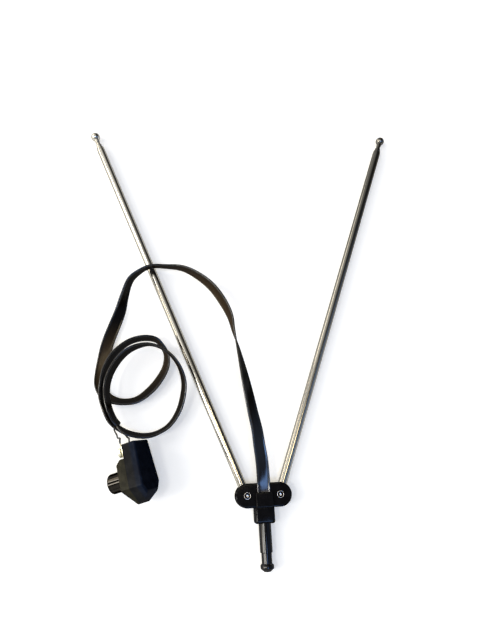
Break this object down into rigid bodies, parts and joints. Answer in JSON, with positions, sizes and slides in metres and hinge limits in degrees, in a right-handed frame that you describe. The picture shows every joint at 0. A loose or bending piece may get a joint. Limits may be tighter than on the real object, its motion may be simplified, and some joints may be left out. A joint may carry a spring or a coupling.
{
  "type": "telescopic V dipole antenna with ribbon lead",
  "caption": "V-shaped telescopic dipole antenna with a plug-in stem, a flat twin-lead ribbon and a matching box with screw terminals and a coax barrel",
  "frame": {"origin": "middle of the head's flat back face, midway between the two mast pivots", "axes": "+X to the right mast, +Y up the V along its middle line, +Z out of the head's front, off the table"},
  "size_m": [0.2878, 0.3896, 0.0333],
  "materials": {
    "black_gloss": "moulded, glossy",
    "chrome": "plated brass tube, polished",
    "nickel": "nickel plated, bright",
    "fibre": "pressed fibre",
    "brass": "bare, lightly dulled",
    "spring_steel": "bright",
    "copper": "bare copper and enamelled copper",
    "ribbon_brown": "dark brown polyethylene, glossy",
    "wire_black": "tinned wire in dark sleeving",
    "box_black": "moulded, satin",
    "ferrite": "sintered, matt",
    "insulator": "ivory"
  },
  "bodies": {
    "head": {"rear_shell": "black_gloss", "front_shell": "black_gloss", "mount_stem": "black_gloss", "left_pivot_rivet": "nickel", "right_pivot_rivet": "nickel", "left_fibre_washer": "fibre", "right_fibre_washer": "fibre", "left_contact_tab": "brass", "right_contact_tab": "brass", "left_spring_washer": "spring_steel", "right_spring_washer": "spring_steel", "lead_ends": "copper", "ribbon_inner": "ribbon_brown"},
    "left_mast": {"left_pivot_lug": "nickel", "left_tube_1": "chrome", "ribbon_outer": "ribbon_brown", "wire_tails": "wire_black", "box_front_shell": "box_black", "box_rear_shell": "box_black", "terminal_plates": "brass", "terminal_screws": "brass", "ferrite_core": "ferrite", "core_winding": "copper", "coax_barrel": "nickel", "barrel_insulator": "insulator", "centre_pin": "brass"},
    "left_section_2": {"left_tube_2": "chrome", "left_bush_2": "brass"},
    "left_section_3": {"left_tube_3": "chrome", "left_bush_3": "brass"},
    "left_tip": {"left_tip_rod": "chrome", "left_bush_4": "brass", "left_tip_ball": "chrome"},
    "right_mast": {"right_pivot_lug": "nickel", "right_tube_1": "chrome"},
    "right_section_2": {"right_tube_2": "chrome", "right_bush_2": "brass"},
    "right_section_3": {"right_tube_3": "chrome", "right_bush_3": "brass"},
    "right_tip": {"right_tip_rod": "chrome", "right_bush_4": "brass", "right_tip_ball": "chrome"}
  },
  "joints": [
    {"name": "left_swing", "type": "hinge", "parent": "head", "child": "left_mast", "pos_m": [-0.013, 0, 0.0057], "axis": [0, 0, 1], "range_deg": [-21, 69], "deforming": ["ribbon_inner"]},
    {"name": "left_slide_2", "type": "slide", "parent": "left_mast", "child": "left_section_2", "axis": [-0.3584, 0.9336, 0], "range_m": [0, 0.295]},
    {"name": "left_slide_3", "type": "slide", "parent": "left_section_2", "child": "left_section_3", "axis": [-0.3584, 0.9336, 0], "range_m": [0, 0.295]},
    {"name": "left_slide_4", "type": "slide", "parent": "left_section_3", "child": "left_tip", "axis": [-0.3584, 0.9336, 0], "range_m": [0, 0.295]},
    {"name": "right_swing", "type": "hinge", "parent": "head", "child": "right_mast", "pos_m": [0.013, 0, 0.0057], "axis": [0, 0, -1], "range_deg": [-21, 69]},
    {"name": "right_slide_2", "type": "slide", "parent": "right_mast", "child": "right_section_2", "axis": [0.3584, 0.9336, 0], "range_m": [0, 0.295]},
    {"name": "right_slide_3", "type": "slide", "parent": "right_section_2", "child": "right_section_3", "axis": [0.3584, 0.9336, 0], "range_m": [0, 0.295]},
    {"name": "right_slide_4", "type": "slide", "parent": "right_section_3", "child": "right_tip", "axis": [0.3584, 0.9336, 0], "range_m": [0, 0.295]}
  ]
}
